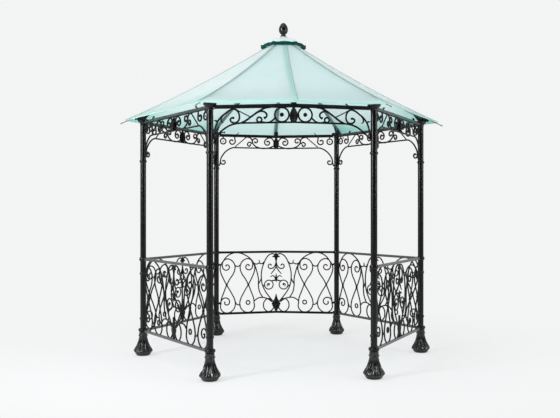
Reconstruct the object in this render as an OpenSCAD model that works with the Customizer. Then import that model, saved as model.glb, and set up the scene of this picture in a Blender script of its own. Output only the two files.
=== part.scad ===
// Six-sided wrought iron gazebo: posts on cast feet, scrollwork railings on five sides,
// a scrollwork frieze below each eave beam, and a translucent two-tier roof with a finial.
// Millimetres, +Z up, origin on the floor at the centre. The open side faces -Y.

/* [Plan] */
// Distance from the centre to the axis of each post
plan_radius = 1500; // [1200:10:1900]
// How far the middle of the front and of the back stands out from the line between its posts
side_bow = 150; // [0:5:180]

/* [Heights] */
// Height of the lower rail's axis
low_rail_z = 262; // [200:2:340]
// Height of the upper rail's axis
top_rail_z = 1025; // [850:5:1300]
// Height of the top of the eave beams
beam_top_z = 2496; // [2150:2:3000]

/* [Posts] */
// Outer radius of a post
post_r = 31; // [24:0.5:38]
// Wall of a post's tube
post_wall = 3; // [2:0.5:5]
// Radius of the necking ring and of the ring at the upper rail
ring_r = 39; // [34:0.5:50]
// Radius of the ring at the lower rail, on top of the foot
low_ring_r = 48; // [44:0.5:54]
// Height of the necking ring below the top of the beams
necking_drop = 428; // [380:2:500]
// Radius of a capital at its top
capital_r = 61; // [50:1:75]
// How far a capital stands above the beams
capital_rise = 18; // [5:1:30]

/* [Feet] */
// Gap between a foot's collar and the lower rail
foot_gap = 2; // [1:0.5:8]
// Radius of a foot where it stands on the floor
foot_base_r = 74; // [60:1:76]
// Radius of a foot's bulge under the leaves
foot_bulge_r = 88; // [80:1:105]
// Height of the bulge
foot_bulge_z = 58; // [45:1:70]
// Radius of the neck of a foot
foot_neck_r = 42; // [38:0.5:50]
// Height at which the flare of a foot starts to leave the neck
foot_flare_z = 172; // [150:1:190]
// Wall of the casting
foot_wall = 7; // [4:0.5:12]
// Leaves round a foot
foot_leaves = 8; // [6:1:10]

/* [Bars] */
// Height of the section of a rail
rail_h = 25; // [18:1:35]
// Depth of the section of a rail
rail_d = 20; // [14:1:30]
// Width of a scroll bar
bar_w = 13; // [8:0.5:16]
// Depth of a scroll bar
bar_d = 12; // [6:0.5:16]
// Height of the section of an eave beam
beam_h = 28; // [24:1:60]
// Depth of the section of an eave beam
beam_d = 30; // [24:1:44]
// Clear height of the frieze between the beam and its lower bar
frieze_h = 138; // [110:1:170]

/* [Roof] */
// Height of the roof's edge above the top of the beams
eave_rise = 8; // [6:1:40]
// Height of the roof panels from their edge to where they meet in the middle
roof_rise = 870; // [700:5:1100]
// How far the roof's corners stand out past the posts
overhang = 190; // [100:5:260]
// How much the slope sags below a straight line
roof_sag = 40; // [0:2:70]
// Thickness of a roof panel
panel_t = 4; // [3:0.5:8]
// Depth of a rafter
rafter_h = 34; // [25:1:50]
// Width of a rafter
rafter_w = 22; // [14:1:34]
// Radius of the pins at the roof's corners
pin_r = 5; // [3:0.5:8]
// How far the hip rafters reach out past the posts
rafter_reach = 85; // [60:5:130]
// How far the pins reach past the corners
pin_reach = 58; // [20:1:90]
// Radius of the hub that carries the tops of the rafters
hub_r = 70; // [55:1:100]
// Radius of the cap roof
cap_r = 245; // [200:5:320]
// Height of the upright edge of the cap roof
cap_edge_h = 38; // [20:1:60]
// Height of the cap roof's edge above the lower roof
cap_gap = 12; // [4:1:40]
// Height of the finial's egg
egg_h = 126; // [90:1:170]
// Radius of the finial's egg
egg_r = 50; // [40:1:65]

/* [Hidden] */
$fn = 48;
fit = 0.3; // clearance between pieces that seat on each other
weld = 0.8; // half of the widest slit that a weld closes

POSTS = ["front_right", "right", "back_right", "back_left", "left", "front_left"];
BAYS = ["front", "right_front", "right_back", "back", "left_back", "left_front"];
function post_angle(i) = -60 + 60 * i;
function bay_angle(i) = -90 + 60 * i;

half_chord = plan_radius * sin(30);
apothem = plan_radius * cos(30);
// The front and the back are bent at the middle, and the other sides are straight
function bow(i) = i % 3 == 0 ? side_bow : 0;
function half_turn(i) = atan(bow(i) / half_chord);
// While a side is drawn, $half is the length of half of it, and $lap is how far its two halves
// run into each other
function half_len(i) = half_chord / cos(half_turn(i));
function lap(i) = max(beam_d, rail_d, bar_d) / 2 * tan(half_turn(i)) + 2;
rail_gap = top_rail_z - low_rail_z;
eave_z = beam_top_z + eave_rise;
roof_top_z = eave_z + roof_rise;
tie_r = post_r + 5; // of the rings that take the ends of a railing's scrolls
tie_heights = [0.17, 0.8]; // of those rings, as shares of the gap between the rails
beam_low_z = beam_top_z - beam_h;
frieze_z = beam_low_z - frieze_h;
foot_h = low_rail_z - rail_h / 2 - foot_gap;
necking_z = beam_top_z - necking_drop;
capital_h = beam_h + capital_rise;
capital_top_z = beam_top_z + capital_rise;
capital_lip = 10; // height of the upright edge of a capital
function capital_at(z) = post_r + (capital_r - post_r) * z / (capital_h - capital_lip);
corner_r = plan_radius + overhang;
top_r = 60; // of the corners where the panels end, under the cap roof
flat_r = corner_r * cos(30); // from the centre to the middle of a straight side's eave
mid_r = flat_r + side_bow; // and of a bent side's
mid_top_r = top_r * cos(30);
roof_steps = 6; // straight stretches that make up the sagging slope

// Height of the roof's underside at a share t of the way from the eave to the top
function roof_z(t) = eave_z + (roof_top_z - eave_z) * t - 4 * roof_sag * t * (1 - t);
// Height of the same surface at radius x, on a line from radius r at the eave to inner at the top
function roof_at(r, inner, x) = roof_z((r - x) / (r - inner));
// How far a rafter lies below the fold of the roof, so that its edges clear the panels.
// The fold's eave is at radius r and those of the lines beside it at radius q.
function rafter_drop(r, q) = fit + rafter_w / 2 * (roof_top_z - eave_z + 4 * roof_sag) / (r - top_r)
    * (r - q * cos(30)) / (q * sin(30));
hip_drop = rafter_drop(corner_r, flat_r);
mid_drop = rafter_drop(mid_r, corner_r);

frieze_top_bar = 6; // height of the flat bar by which a frieze hangs under its beam

// ---- Curves ----

// Points of an arc round c, with a radius that goes from r0 to r1
function curl(c, r0, r1, a0, a1, n = 8) =
    [for (i = [0:n]) let (t = i / n, r = r0 + (r1 - r0) * t, a = a0 + (a1 - a0) * t)
        c + r * [cos(a), sin(a)]];

// A smooth curve through p, with n steps from each point to the next
function smooth(p, n = 2) = let (m = len(p) - 1)
    [for (i = [0:m - 1], j = [0:n - 1])
        let (a = p[max(i - 1, 0)], b = p[i], c = p[i + 1], d = p[min(i + 2, m)], t = j / n)
        0.5 * (2 * b + (c - a) * t + (2 * a - 5 * b + 4 * c - d) * t * t
               + (3 * b - a - 3 * c + d) * t * t * t), p[m]];

function unit(v) = v / norm(v);
function side_step(p, i) = let (m = len(p) - 1,
    d = unit(p[min(i + 1, m)] - p[max(i - 1, 0)])) [-d[1], d[0]];

// A flat bar of width w along the points p, drawn in stretches so that it may cross itself
module strip(p, w = bar_w, stretches = 1) {
    m = len(p) - 1;
    for (k = [0:stretches - 1]) {
        from = floor(m * k / stretches);
        to = floor(m * (k + 1) / stretches);
        polygon([for (i = [from:to]) p[i] + side_step(p, i) * w / 2,
                 for (i = [to:-1:from]) p[i] - side_step(p, i) * w / 2]);
    }
}

module ring(c, r, w = bar_w) {
    translate(c) difference() {
        circle(r = r + w / 2, $fn = 28);
        circle(r = r - w / 2, $fn = 28);
    }
}

// ---- Places ----

module at_post(i) { rotate([0, 0, post_angle(i)]) translate([plan_radius, 0, 0]) children(); }

// Draws its children at both halves of side i, with X from the middle to the post
module halves(i) {
    $half = half_len(i);
    $lap = lap(i);
    rotate([0, 0, bay_angle(i) + 90])
        for (s = [0, 1])
            mirror([s, 0, 0]) translate([0, -apothem - bow(i), 0]) rotate([0, 0, half_turn(i)]) children();
}

// Stands a flat drawing up, with its depth t centred on the drawing
module upright(t) { rotate([90, 0, 0]) linear_extrude(t, center = true) children(); }

// Bars drawn as children, welded into one flat piece that stops at a gap before the post's axis
module welded(gap = post_r + fit) {
    offset(delta = -weld) offset(delta = weld) intersection() {
        union() children();
        translate([-$lap, -plan_radius]) square([$half - gap + $lap, 2 * plan_radius]);
    }
}

// ---- Posts and feet ----

// A rounded ring round a post, of radius r and height h, centred at height z
module post_ring(z, h, r = ring_r) {
    d = r - post_r;
    translate([0, 0, z]) rotate_extrude() polygon(concat([[post_r - 1, -h / 2]],
        [for (k = [0:6]) let (a = -90 + 30 * k) [post_r + d * (0.45 + 0.55 * cos(a)), h / 2 * sin(a)]],
        [[post_r - 1, h / 2]]));
}

// Plate on top of a post that spreads up to the hip rafter
module rafter_seat() {
    upright(12) polygon([[-24, capital_top_z - 2], [24, capital_top_z - 2],
        for (k = [2:-1:-2]) let (x = rafter_reach * k / 2)
            [x, roof_at(corner_r, top_r, plan_radius + x) - hip_drop - rafter_h - fit]]);
}

module post(i) {
    color([0.13, 0.13, 0.14]) at_post(i) {
        difference() {
            union() {
                cylinder(r = post_r, h = capital_top_z);
                translate([0, 0, capital_top_z - capital_h]) rotate_extrude() polygon([
                    [post_r - 1, 0], [post_r, 0], [capital_r, capital_h - capital_lip],
                    [capital_r, capital_h], [post_r - 1, capital_h]]);
                rafter_seat();
                post_ring(necking_z, 26);
                post_ring(top_rail_z, 40);
                post_ring(low_rail_z + 8, 40, low_ring_r);
                for (z = tie_heights) post_ring(low_rail_z + z * rail_gap, 22, tie_r);
            }
            translate([0, 0, -1]) cylinder(r = post_r - post_wall, h = capital_top_z - 8);
        }
    }
}

// The flare is an arc that leaves the neck upright and ends at the bulge
flare_w = foot_bulge_r - foot_neck_r;
flare_h = foot_flare_z - foot_bulge_z;
flare_r = (flare_w * flare_w + flare_h * flare_h) / (2 * flare_w);
flare_turn = asin(flare_h / flare_r);
// The bowl below is an arc that ends upright at the bulge
bowl_w = foot_bulge_r - foot_base_r;
bowl_r = (bowl_w * bowl_w + foot_bulge_z * foot_bulge_z) / (2 * bowl_w);
bowl_turn = asin(foot_bulge_z / bowl_r);
leaf_t = 8; // how far a leaf stands off the flare
leaf_w = 1.7 * foot_bulge_r * sin(180 / foot_leaves); // of a leaf at its widest

// Outline of a foot's outside, from the floor up, taken in by w
function foot_outline(w) = concat(
    curl([foot_bulge_r - bowl_r, foot_bulge_z], bowl_r - w, bowl_r - w, -bowl_turn, 0, 6),
    curl([foot_neck_r + flare_r, foot_flare_z], flare_r + w, flare_r + w, 180 + flare_turn - 1, 180, 10),
    [[foot_neck_r - w, foot_h]]);

// Section of the leaves: they thicken down the flare and curl out over the bulge
module leaf_section() {
    centre = [foot_neck_r + flare_r, foot_flare_z];
    polygon(concat(
        [for (k = [0:8]) let (a = 180 + flare_turn * k / 8) centre + (flare_r + 3) * [cos(a), sin(a)]],
        curl([foot_bulge_r - 3, foot_bulge_z], 13, 13, -150, 60, 6),
        [for (k = [8:-1:0]) let (a = 180 + flare_turn * 0.94 * k / 8)
            centre + (flare_r - leaf_t * k / 8) * [cos(a), sin(a)]]));
}

// Outline of a leaf seen from outside: narrow at the neck, pointed at the foot of the flare
module leaf_outline() {
    h = foot_flare_z - foot_bulge_z;
    polygon(smooth([[-4, h + 8], [-0.2 * leaf_w, 0.75 * h], [-0.36 * leaf_w, 0.42 * h], [-0.5 * leaf_w, 0.08 * h],
        [-0.42 * leaf_w, -10], [0, -18], [0.42 * leaf_w, -10], [0.5 * leaf_w, 0.08 * h], [0.36 * leaf_w, 0.42 * h],
        [0.2 * leaf_w, 0.75 * h], [4, h + 8]], 1));
}

module foot(i) {
    color([0.12, 0.12, 0.13]) at_post(i) difference() {
        union() {
            rotate_extrude() polygon(concat([[0, 0]], foot_outline(0), [[0, foot_h]]));
            intersection() {
                rotate_extrude() leaf_section();
                for (k = [0:foot_leaves - 1]) rotate([0, 0, (k + 0.5) * 360 / foot_leaves])
                    translate([foot_neck_r - 6, 0, foot_bulge_z]) rotate([90, 0, 90])
                        linear_extrude(foot_bulge_r) leaf_outline();
            }
        }
        // hollow of the casting, open below
        translate([0, 0, -1]) rotate_extrude() polygon(concat([[0, 0]], [[foot_base_r - foot_wall, 0]],
            [for (p = foot_outline(foot_wall)) if (p[1] > foot_wall && p[1] < foot_h * 0.7) p],
            [[0, foot_h * 0.7]]));
        cylinder(r = post_r + fit, h = 3 * foot_h, center = true);
    }
}

// ---- Railings ----

// A point of a half railing: shares of the half side and of the gap between the rails
function rp(x, z) = [x * $half, z * rail_gap];
function rps(p) = [for (q = p) rp(q[0], q[1])];

// The pair of crossing bars in the half railing's figure at x, mirrored where turn is -1
module crossing_pair(x, turn) {
    function q(p) = [for (v = p) rp(x + turn * v[0], v[1])];
    c = rp(x, 0.765);
    strip(smooth(concat(curl(c, 13, 54, 90 - turn * 430, 90 - turn * 90, 8),
        q([[0.06, 0.85], [0.01, 0.89], [-0.06, 0.88], [-0.12, 0.82], [-0.138, 0.745], [-0.11, 0.65],
           [-0.05, 0.56], [0, 0.465], [0.05, 0.34], [0.09, 0.23], [0.095, 0.15]]))));
    strip(smooth(q([[0.075, 0.83], [0.105, 0.77], [0.105, 0.7], [0.06, 0.58], [0, 0.465],
                    [-0.08, 0.33], [-0.138, 0.2], [-0.138, 0.115], [-0.09, 0.04], [-0.01, 0.006],
                    [0.06, 0.03], [0.1, 0.09], [0.098, 0.16]])));
}

module railing_scrolls() {
    crossing_pair(0.83, 1);
    strip(smooth(curl(rp(0.84, 0.18), 12, 68, 400, 5, 9)));
    crossing_pair(0.47, -1);
    ring(rp(0.475, 0.17), 24);
    strip(rps([[0.475, 0.135], [0.475, 0.005]]), bar_w * 0.6);
    // arch that touches the top rail, and its run down beside the centre
    strip(smooth(rps([[0.905, 0.83], [0.83, 0.93], [0.73, 0.985], [0.63, 0.99], [0.52, 0.95], [0.43, 0.885],
                      [0.375, 0.81], [0.325, 0.67], [0.3, 0.55], [0.3, 0.45], [0.28, 0.34], [0.225, 0.245]])));
    // ties to the post
    strip(smooth(rps([[0.9, 0.84], [0.93, 0.8], [0.99, 0.8]])));
    strip(rps([[0.925, 0.17], [0.99, 0.17]]));
    // links between the pairs
    strip(smooth(rps([[0.695, 0.79], [0.67, 0.77], [0.635, 0.77], [0.605, 0.79]])));
    strip(smooth(rps([[0.695, 0.2], [0.66, 0.145], [0.6, 0.13]])));
    // links to the centre
    strip(smooth(rps([[0.378, 0.815], [0.33, 0.8], [0.29, 0.815], [0.24, 0.805], [0.2, 0.84]])));
    strip(rps([[0.285, 0.82], [0.285, 0.86]]), bar_w * 0.7);
    strip(smooth(rps([[0.3, 0.47], [0.27, 0.52], [0.25, 0.565]])));
    strip(smooth(rps([[0.375, 0.19], [0.3, 0.24], [0.225, 0.245], [0.15, 0.225], [0.07, 0.17]])));
    // oval of the centre
    strip(smooth(rps([[0, 0.925], [0.045, 0.965], [0.1, 0.96], [0.15, 0.92], [0.205, 0.82], [0.245, 0.69],
                      [0.25, 0.56], [0.235, 0.46], [0.19, 0.36], [0.12, 0.26], [0.03, 0.15]])));
    // ring scroll held by the oval, with its eye
    eye = rp(0.119, 0.45);
    strip(smooth(concat(rps([[0.238, 0.47]]), curl(eye, 56, 48, -25, -350, 10))));
    translate(eye) circle(r = 10, $fn = 16);
    strip([eye, eye - [48, 0]], bar_w * 0.6);
    // C scroll at the top of the centre
    strip(smooth(concat(curl(rp(0.098, 0.77), 10, 36, 540, 270, 8), rps([[0.05, 0.735], [0.02, 0.77], [0, 0.83]]))));
    // lower arms of the stem
    strip(smooth(rps([[0, 0.75], [0.04, 0.69], [0.09, 0.63]])));
    // sprig, held by the ring scrolls
    strip(smooth(rps([[0, 0.53], [0.03, 0.585], [0.06, 0.6], [0.095, 0.585]])), bar_w * 0.8);
    strip([rp(0, 0.53), eye + 48 * [cos(125), sin(125)]], bar_w * 0.8);
    // oval loop beside the bud
    strip(smooth(rps([[0.03, 0.1], [0.06, 0.045], [0.12, 0.01], [0.18, 0.035], [0.215, 0.11],
                      [0.185, 0.2], [0.13, 0.225], [0.06, 0.185], [0.03, 0.13]])));
}

// Stem, leaf, sprig and bud on the middle line of a railing
module railing_centre() {
    // leaf with three lobes on a stem
    polygon(rps([[-0.005, 0.985], [0.012, 0.985], [0.022, 0.955], [0.055, 0.945], [0.045, 0.915], [0.024, 0.905],
                 [0.022, 0.87], [0.01, 0.81], [0.008, 0.74], [-0.005, 0.73]]));
    // bud
    polygon(rps([[-0.005, 0.01], [0.008, 0.01], [0.016, 0.05], [0.045, 0.1], [0.058, 0.15], [0.04, 0.185],
                 [0.018, 0.215], [0.008, 0.28], [-0.005, 0.31]]));
    // upright of the sprig
    polygon(rps([[-0.005, 0.49], [0.007, 0.5], [0.015, 0.525], [0.006, 0.56], [0.004, 0.61], [-0.005, 0.62]]));
}

module railing(i) {
    color([0.12, 0.12, 0.13]) halves(i) translate([0, 0, low_rail_z]) {
        for (z = [0, rail_gap]) translate([-$lap, -rail_d / 2, z - rail_h / 2])
            cube([$half - (z == 0 ? low_ring_r : ring_r) - fit + $lap, rail_d, rail_h]);
        upright(bar_d) welded(tie_r + fit) {
            railing_scrolls();
            railing_centre();
        }
    }
}

// ---- Eaves ----

module eave_beam(i) {
    seat = roof_at(mid_r, mid_top_r, apothem + bow(i) + 15) - mid_drop - rafter_h - fit;
    color([0.16, 0.16, 0.17]) halves(i) {
        translate([0, 0, beam_low_z]) upright(beam_d) polygon([[-$lap, 0], [$half - capital_at(0) - fit, 0],
            [$half - capital_at(beam_h) - fit, beam_h], [-$lap, beam_h]]);
        // block under the middle rafter
        if (i % 3 == 0) translate([-$lap, -15, beam_top_z - 1]) cube([26 + $lap, 30, seat - beam_top_z + 1]);
        // clip that steadies the roof's edge
        translate([0.655 * $half, 0, beam_top_z]) upright(20) polygon([[0, -1], [14, -1], [-16, 26], [-24, 24]]);
    }
}

// Where the corner curves of side i start from the frieze's lower bar, as a share of the half side
function split(i) = i == 0 ? 0.625 : 0.7;
// A point of a half frieze: shares of the half side and of the frieze's clear height
function fp(x, z) = [x * $half, z * frieze_h];
function fps(p) = [for (q = p) fp(q[0], q[1])];

// Thin rod from the corner's spiral to the S bar beside it
module frieze_rod() { strip(fps([[0.68, 0.88], [0.505, 0.36]]), bar_w * 0.6); }

module frieze_front_scrolls() {
    // large ring with its eye
    eye = [0.14 * $half, frieze_h / 2];
    ring(eye, frieze_h / 2 - 4);
    translate(eye) circle(r = 15, $fn = 16);
    strip([eye, eye + [14, 6 - frieze_h / 2]], bar_w * 0.5);
    // small ring with a run up to the large ring, and a hook over it
    ring(fp(0.407, 0.2), 22);
    strip(smooth(fps([[0.385, 0.07], [0.34, 0.01], [0.29, 0.02], [0.245, 0.165], [0.22, 0.3]])));
    strip(smooth(fps([[0.445, 0.62], [0.41, 0.72], [0.371, 0.745], [0.333, 0.65], [0.318, 0.48], [0.33, 0.345],
                      [0.352, 0.3]])));
    // S bar from the beam down to the lower bar
    strip(smooth(fps([[0.28, 0.995], [0.33, 0.97], [0.384, 0.84], [0.49, 0.46], [0.57, 0.15], [0.62, 0.01],
                      [0.68, -0.03]])));
    frieze_rod();
}

module frieze_side_scrolls() {
    h = frieze_h;
    // C scroll out of the leaf
    strip(smooth(concat(fps([[0.03, 0.5], [0.06, 0.82], [0.1, 0.95]]), curl(fp(0.145, 0.52), 44, 12, 60, -330, 8))));
    // long low C scroll with its curled end
    strip(smooth(concat(fps([[0.04, 0.22], [0.13, 0.03], [0.29, 0.03], [0.37, 0.25]]),
        curl(fp(0.35, 0.62), 42, 12, -20, 350, 8))));
    // S scroll from the lower curl to the beam
    strip(smooth(concat(curl(fp(0.452, 0.3), 11, 34, -210, 150, 8), fps([[0.405, 0.62], [0.43, 0.88], [0.48, 0.99], [0.53, 1]]))));
    // straight rod with a small leaf
    strip(fps([[0.5, 1], [0.69, 0.08]]), bar_w * 0.7);
    polygon(fps([[0.64, 0.1], [0.67, 0.34], [0.692, 0.1], [0.69, 0.02]]));
    // spiral and ring under the beam
    strip(smooth(concat([fp(0.7, 1)], curl(fp(0.745, 0.56), 46, 12, 150, 520, 9))));
    ring(fp(0.888, 0.56), 34);
    translate(fp(0.888, 0.56)) circle(r = 9, $fn = 16);
    strip([fp(0.888, 0.56), fp(0.888, 0.56) + [0, 34]], bar_w * 0.5);
    strip([fp(0.888, 0.56) + [0, 34], fp(0.888, 1)]);
}

// Acanthus cluster at the middle of a frieze
module frieze_leaf() {
    polygon(fps([[-0.005, 1], [0.022, 1], [0.022, 0.82], [0.05, 0.74], [0.042, 0.6], [0.056, 0.42],
                 [0.03, 0.2], [0.012, 0], [-0.005, -0.06]]));
}

module frieze(i) {
    color([0.12, 0.12, 0.13]) halves(i) translate([0, 0, frieze_z]) upright(bar_d) welded() {
        translate([-$lap, -bar_w / 2]) square([split(i) * $half + $lap, bar_w]);
        translate([-$lap, frieze_h - frieze_top_bar]) square([$half, frieze_top_bar - fit]);
        intersection() {
            if (i == 0) frieze_front_scrolls(); else frieze_side_scrolls();
            translate([0, -bar_w]) square([(i == 0 ? split(i) : 1) * $half, frieze_h + bar_w - fit]);
        }
        frieze_leaf();
    }
}

// Corner curves of the open side
module bracket_front_scrolls() {
    // arm that rises from the post and turns into a spiral under the beam
    strip(smooth(fps([[0.985, -0.95], [0.95, -0.72], [0.934, -0.25], [0.887, 0.28], [0.8, 0.7], [0.755, 0.86],
                      [0.712, 0.92], [0.668, 0.78], [0.645, 0.42], [0.66, 0.13], [0.705, 0.02], [0.746, 0.12],
                      [0.752, 0.28], [0.72, 0.36]])));
    translate(fp(0.716, 0.34)) circle(r = 11, $fn = 16);
    frieze_rod();
    // arm that runs on from the lower bar
    strip(smooth(fps([[0.62, 0], [0.68, -0.03], [0.768, -0.17], [0.848, -0.45], [0.93, -0.85], [0.985, -1.15]])));
    // leaves on the arms
    strip(smooth(fps([[0.82, 0.6], [0.86, 0.36], [0.862, 0.14], [0.838, 0.03]])), bar_w * 0.7);
    polygon(fps([[0.9, 0.22], [0.955, 0.2], [0.92, 0]]));
    strip(fps([[0.885, -0.66], [0.825, -0.6]]), bar_w * 0.6);
    translate(fp(0.825, -0.6)) circle(r = 9, $fn = 12);
}

// Corner curves of a railed side, down to a curl at the necking ring
module bracket_side_scrolls() {
    strip(concat(fps([[0.69, 0]]), smooth(concat(fps([[0.73, -0.01], [0.82, -0.25], [0.89, -0.65], [0.928, -1.05]]),
                 curl(fp(0.885, -1.3), 36, 12, 0, -330, 10)))));
    strip(smooth(fps([[0.932, -1.25], [0.945, -1.55], [0.985, -1.8]])));
}

module brackets(i) {
    color([0.12, 0.12, 0.13]) halves(i) translate([0, 0, frieze_z]) upright(bar_d) welded() {
        intersection() {
            if (i == 0) bracket_front_scrolls(); else bracket_side_scrolls();
            translate([split(i) * $half + fit, -plan_radius])
                square([plan_radius, plan_radius + frieze_h - frieze_top_bar - fit]);
        }
    }
}

// ---- Roof ----

// Point at share t of the line at angle a that runs from radius r at the eave to inner at the top
function roof_point(r, inner, a, t, dz) =
    let (q = r + (inner - r) * t) [q * cos(a), q * sin(a), roof_z(t) + dz];

module roof_panel(i) {
    n = roof_steps;
    joint = 0.06; // half angle of the joint between two panels
    a = bay_angle(i);
    cols = [[corner_r, top_r, a - 30 + joint], if (bow(i) > 0) [mid_r, mid_top_r, a],
            [corner_r, top_r, a + 30 - joint]];
    m = len(cols);
    grid = [for (dz = [0, panel_t], k = [0:n], c = cols) roof_point(c[0], c[1], c[2], k / n, dz)];
    w = m * (n + 1);
    color([0.78, 0.92, 0.91, 0.5]) polyhedron(grid, [
        for (k = [0:n - 1], c = [0:m - 2]) let (p = m * k + c) each [
            [p, p + 1, p + m + 1], [p, p + m + 1, p + m],
            [w + p, w + p + m + 1, w + p + 1], [w + p, w + p + m, w + p + m + 1]],
        for (k = [0:n - 1]) let (p = m * k, q = p + m - 1) each [
            [p, p + m, w + p + m], [p, w + p + m, w + p],
            [q, w + q + m, q + m], [q, w + q, w + q + m]],
        for (p = [0:m - 2]) let (q = m * n + p) each [
            [p, w + p + 1, p + 1], [p, w + p, w + p + 1],
            [q, q + 1, w + q + 1], [q, w + q + 1, w + q]]]);
}

// A curved rafter at angle a, from the hub to radius end, under the line of the roof that runs
// from radius r at the eave to inner at the top
module rafter(r, inner, a, drop, end) {
    from = (r - end) / (r - inner);
    ts = [from, for (k = [1:roof_steps - 1]) if (k / roof_steps > from + 0.01) k / roof_steps,
          (r - hub_r) / (r - inner)];
    rotate([0, 0, a]) upright(rafter_w) polygon([
        for (t = ts) [r + (inner - r) * t, roof_z(t) - drop],
        for (k = [len(ts) - 1:-1:0]) [r + (inner - r) * ts[k], roof_z(ts[k]) - drop - rafter_h]]);
}

// Six rafters, each with a pin in its end that carries the corner of the roof and sticks out past it
module hip_rafters() {
    run = (corner_r - top_r) / roof_steps;
    slope = atan((roof_z(1 / roof_steps) - roof_z(0)) / run);
    root = 60; // length of the pin inside the rafter
    length = corner_r - plan_radius - rafter_reach + pin_reach + root;
    color([0.2, 0.21, 0.22]) for (i = [0:5]) {
        rafter(corner_r, top_r, post_angle(i), hip_drop, plan_radius + rafter_reach);
        rotate([0, 0, post_angle(i)]) translate([corner_r, 0, eave_z - hip_drop - 2 * pin_r])
            rotate([0, 90 + slope, 0]) translate([0, 0, pin_reach - length]) cylinder(r = pin_r, h = length);
    }
}

module mid_rafters() {
    color([0.2, 0.21, 0.22]) for (i = [0, 3])
        rafter(mid_r, mid_top_r, bay_angle(i), mid_drop, apothem + side_bow + beam_d);
}

hub_top = roof_at(flat_r, mid_top_r, hub_r + 5) - fit;
hub_h = 60;
cap_z = roof_at(mid_r, mid_top_r, cap_r * cos(30)) + panel_t + cap_gap;
cap_top_r = 44; // flat top of the cap roof, which carries the finial
cap_t = 5;
cap_rise = 72;
cap_top_z = cap_z + cap_edge_h + cap_rise;

// Disc that takes the rafters' ends, with the rod that carries the cap roof
module roof_hub() {
    color([0.2, 0.21, 0.22]) {
        translate([0, 0, hub_top - hub_h]) cylinder(r = hub_r - fit, h = hub_h);
        translate([0, 0, hub_top - 1]) cylinder(r = 12, h = cap_top_z - cap_t - fit - hub_top + 1);
    }
}

module cap_form(inset) {
    cylinder(r = cap_r - inset, h = cap_edge_h, $fn = 6);
    translate([0, 0, cap_edge_h - 0.01])
        cylinder(r1 = cap_r - inset, r2 = cap_top_r - inset / 2, h = cap_rise - inset + 0.01, $fn = 6);
}

module cap_roof() {
    color([0.75, 0.9, 0.88]) translate([0, 0, cap_z]) difference() {
        cap_form(0);
        translate([0, 0, -0.01]) cap_form(cap_t);
    }
}

// Egg on a flared foot. The egg's widest part is at 0.42 of its height.
module finial() {
    foot_z = 26;
    low = 0.42 * egg_h;
    color([0.05, 0.05, 0.05]) translate([0, 0, cap_top_z]) rotate_extrude() polygon(concat(
        [[0, 0], [35, 0], [33, 4], [24, 9], [19, 17], [20, 22]],
        [for (k = [2:9]) let (a = -90 + 10 * k) [egg_r * cos(a), foot_z - 4 + low + low * sin(a)]],
        [for (k = [1:11]) let (a = 90 * k / 12) [egg_r * pow(cos(a), 0.9), foot_z - 4 + low + (egg_h - low) * sin(a)]],
        [[0, foot_z - 4 + egg_h]]));
}

// ---- All nodes ----

for (i = [0:5]) post(i);
for (i = [0:5]) foot(i);
for (i = [1:5]) railing(i);
for (i = [0:5]) eave_beam(i);
for (i = [0:5]) frieze(i);
for (i = [0:5]) brackets(i);
for (i = [0:5]) roof_panel(i);
hip_rafters();
mid_rafters();
roof_hub();
cap_roof();
finial();
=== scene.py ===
import math

import bpy
from mathutils import Matrix, Vector


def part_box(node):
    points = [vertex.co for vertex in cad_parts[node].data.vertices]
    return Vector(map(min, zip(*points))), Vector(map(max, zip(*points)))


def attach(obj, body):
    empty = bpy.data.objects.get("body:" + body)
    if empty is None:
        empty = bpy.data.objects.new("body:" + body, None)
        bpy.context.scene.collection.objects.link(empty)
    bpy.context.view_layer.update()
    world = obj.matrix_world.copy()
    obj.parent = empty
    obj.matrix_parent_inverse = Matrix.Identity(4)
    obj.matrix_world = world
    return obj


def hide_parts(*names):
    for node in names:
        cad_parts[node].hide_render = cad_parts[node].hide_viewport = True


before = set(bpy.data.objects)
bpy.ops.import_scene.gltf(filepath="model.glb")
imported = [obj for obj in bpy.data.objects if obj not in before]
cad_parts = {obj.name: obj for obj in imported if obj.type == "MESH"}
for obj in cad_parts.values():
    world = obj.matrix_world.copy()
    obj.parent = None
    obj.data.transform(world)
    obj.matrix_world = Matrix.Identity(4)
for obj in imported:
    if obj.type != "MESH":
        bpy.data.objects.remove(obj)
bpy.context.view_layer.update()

# ---- Sizes, in metres ----

BAR_R = 0.0077  # round bar of the railings' scrolls
EAVE_BAR_R = 0.0086  # and of the friezes'
RAIL_W, RAIL_H = 0.020, 0.027
BEAM_W, BEAM_H = 0.030, 0.028
RAFTER_W, RAFTER_H = 0.022, 0.034
EDGE_ROUND = 0.003  # of rails, beams and rafters
FIT = 0.0003  # between pieces that lie on each other
LEAF_T = 0.004
SHEET_T = 0.004
ROOF_SAG = 0.040
TOP_R = 0.060  # corners of the roof sheets' upper edge
MERGE_GAP = 0.00001
LOW_TIE, HIGH_TIE = 0.17, 0.80  # heights of the ties to the posts, as shares of the gap between the rails

POSTS = ["front_right", "right", "back_right", "back_left", "left", "front_left"]
BAYS = ["front", "right_front", "right_back", "back", "left_back", "left_front"]

# ---- Places read from the frame ----

foot_low, foot_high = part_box("foot_right")
rail_low, rail_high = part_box("railing_back")
beam_low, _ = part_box("eave_beam_back")
_, panel_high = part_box("roof_panel_right_front")
roof_low, roof_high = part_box("roof_panel_back")
_, hub_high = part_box("roof_hub")
cap_low, cap_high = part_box("cap_roof")
finial_low, finial_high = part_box("finial")

COS_30 = math.cos(math.radians(30))
plan_radius = (foot_low.x + foot_high.x) / 2
apothem = plan_radius * COS_30
half_chord = plan_radius / 2
bow = rail_high.y - RAIL_W / 2 - apothem  # of the bent sides, the front and the back

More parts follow.
